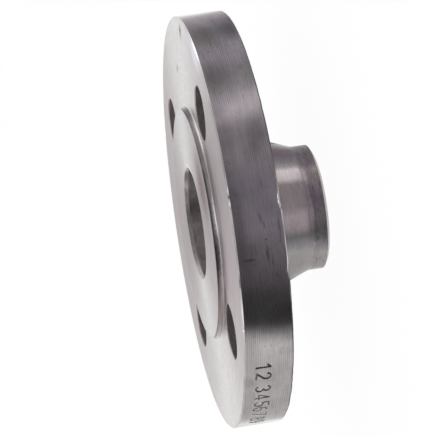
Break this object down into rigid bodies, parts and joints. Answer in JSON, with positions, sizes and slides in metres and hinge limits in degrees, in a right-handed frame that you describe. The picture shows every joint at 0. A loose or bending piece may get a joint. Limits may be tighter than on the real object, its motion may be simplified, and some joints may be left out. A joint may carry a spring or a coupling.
{
  "type": "weld neck flange",
  "caption": "Round steel pipe flange with a raised sealing face, a ring of bolt holes and a tapered neck bevelled for a butt weld to the pipe.",
  "frame": {"origin": "centre of the neck's weld end, on the surface that the flange stands on", "axes": "+Z along the bore, from the weld end up to the raised sealing face; X and Y pass midway between bolt holes"},
  "size_m": [0.14, 0.14, 0.042],
  "materials": {
    "turned_steel": "bare turned carbon steel, satin, lightly handled and nicked"
  },
  "bodies": {
    "root": {"weld_neck_flange": "turned_steel"}
  },
  "joints": []
}
